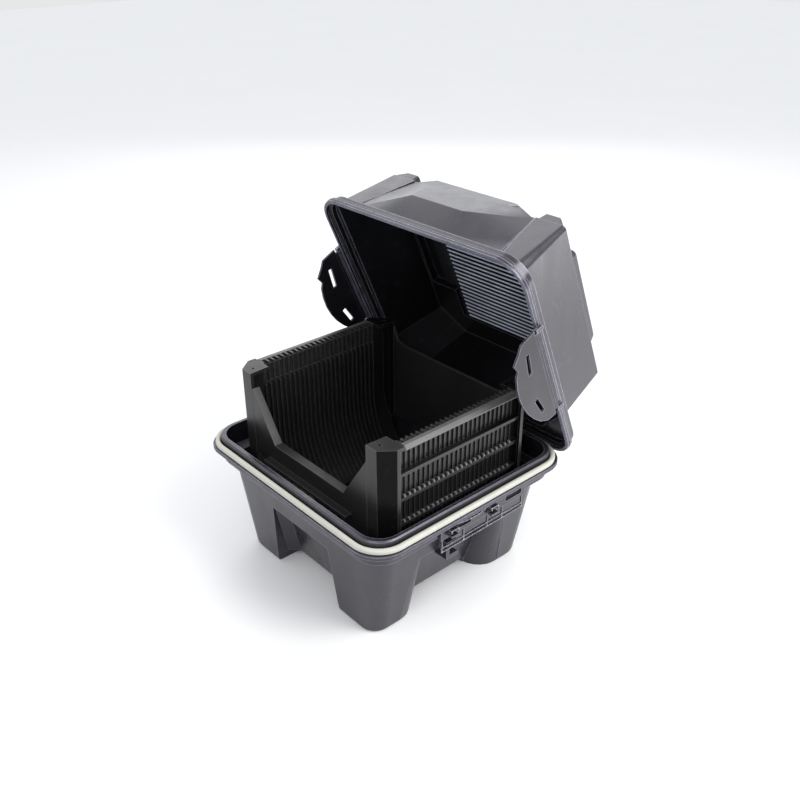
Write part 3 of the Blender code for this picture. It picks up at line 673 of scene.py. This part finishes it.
# The faces inside the lid get the darker copy: painted shade.
second_shade(lid_skin, LID_SHADED_INSIDE, lambda face: (LID_MIDDLE - face.center).dot(face.normal) > 0)
refined("retainer_frame", "lid", INSIDE, 0.5)
refined("retainer_comb", "lid", COMB, 0.35)
refined("cassette_front_wall", "base", CASSETTE, 0.5)
refined("cassette_rear_wall", "base", CASSETTE, 0.5)
for end in ("front", "rear"):
    refined(f"cassette_foot_bar_{end}", "base", CASSETTE, 0.8)
    refined(f"cassette_rest_{end}", "base", REST, 0.8)
make_gasket()
make_tub_trim()
make_rim_beads()
for side, flip in (("right", False), ("left", True)):
    refined(f"catch_rail_{side}", "base", TUB, 0.4)
    refined(f"hinge_bracket_{side}", "base", TUB, 0.4)
    refined(f"lid_hinge_arm_{side}", "lid", LID, 0.4)
    refined(f"flap_bracket_{side}", "lid", LID, 0.3)
    refined(f"latch_flap_{side}", f"latch_flap_{side}", FLAP, 0.45)
    make_catch_details(side, flip)
    make_catch_shade_plates(side, flip)
    make_flap_seal(side, flip)
    make_cassette_side_skin(side, flip)
    make_cassette_fins(side, flip)
    make_cassette_ribs(side, flip)
    make_cassette_teeth(side, flip)
    make_flange_highlight(side, flip)


# ---------------------------------------------------------------- floor, light and camera

FLOOR = Shade("studio_floor", 0.7, specular=0.2)
FLOOR.look(FLOOR.mix(FLOOR.noise(3, 3), (0.92, 0.92, 0.92), (0.95, 0.95, 0.95)))
floor_mesh = bpy.data.meshes.new("floor")
sheet = bmesh.new()
bmesh.ops.create_grid(sheet, x_segments=8, y_segments=8, size=6.0)
sheet.to_mesh(floor_mesh)
sheet.free()
floor = bpy.data.objects.new("floor", floor_mesh)
floor_mesh.materials.append(FLOOR.material)
bpy.context.scene.collection.objects.link(floor)


def softbox(name, place, target, size, power):
    """A rectangular lamp that the camera doesn't see; its place and size are metres."""
    lamp = bpy.data.lights.new(name, "AREA")
    lamp.shape = "RECTANGLE"
    lamp.size, lamp.size_y = size
    lamp.energy = power
    obj = bpy.data.objects.new(name, lamp)
    obj.location = place
    obj.rotation_euler = (Vector(target) - Vector(place)).to_track_quat("-Z", "Y").to_euler()
    obj.visible_camera = False
    bpy.context.scene.collection.objects.link(obj)


OBJECT = (0, 0, 0.2)
softbox("upper_left", (-0.80, 0.60, 1.22), OBJECT, (1.0, 0.8), 2.7)
softbox("back_left", (-1.25, 1.15, 0.85), OBJECT, (1.5, 1.0), 4.0)
softbox("right_floor", (1.15, 1.25, 0.02), (1.15, 1.25, 1), (1.1, 1.2), 14)
softbox("right_glow", (0.45, 0.15, 0.015), (0.45, 0.15, 1), (0.4, 0.6), 0.5)
softbox("upper_right", (0.92, 0.3, 1.1), OBJECT, (0.7, 0.9), 12.5)
softbox("front_top", (0.5, -1.1, 1.3), OBJECT, (0.8, 0.6), 4)

# A cool white surround, a little dimmer as a light than as the backdrop.
world = bpy.data.worlds.new("studio")
world.use_nodes = True
nodes, links = world.node_tree.nodes, world.node_tree.links
dim = nodes["Background"]
dim.inputs["Color"].default_value = (0.95, 0.97, 1, 1)
dim.inputs["Strength"].default_value = 0.92
bright = nodes.new("ShaderNodeBackground")
bright.inputs["Strength"].default_value = 1.0
either, ray = nodes.new("ShaderNodeMixShader"), nodes.new("ShaderNodeLightPath")
links.new(ray.outputs["Is Camera Ray"], either.inputs[0])
links.new(dim.outputs[0], either.inputs[1])
links.new(bright.outputs[0], either.inputs[2])
links.new(either.outputs[0], nodes["World Output"].inputs[0])
bpy.context.scene.world = world
bpy.context.scene.view_settings.view_transform = "Standard"

AZIMUTH, ELEVATION, ROLL = math.radians(48.42), math.radians(29.1), math.radians(-0.23)
SENSOR_WIDTH, FOCAL_WIDTHS = 36.0, 906.32 / 800  # the focal length in widths of the picture
CAMERA_PLACE = Vector((641.6, BASE_Y - 543.9, 524.1 + SEAL_Z)) * MM
level = math.cos(ELEVATION)
back = Vector((math.sin(AZIMUTH) * level, -math.cos(AZIMUTH) * level, math.sin(ELEVATION)))
right = Vector((math.cos(AZIMUTH), math.sin(AZIMUTH), 0))
up = back.cross(right)
turned_right = math.cos(ROLL) * right + math.sin(ROLL) * up
turned_up = math.cos(ROLL) * up - math.sin(ROLL) * right
axes = Matrix((turned_right, turned_up, back)).transposed().to_4x4()
lens = bpy.data.cameras.new("camera")
lens.sensor_width = SENSOR_WIDTH
lens.lens = SENSOR_WIDTH * FOCAL_WIDTHS
camera = bpy.data.objects.new("camera", lens)
camera.matrix_world = Matrix.Translation(CAMERA_PLACE) @ axes
bpy.context.scene.collection.objects.link(camera)
bpy.context.scene.camera = camera
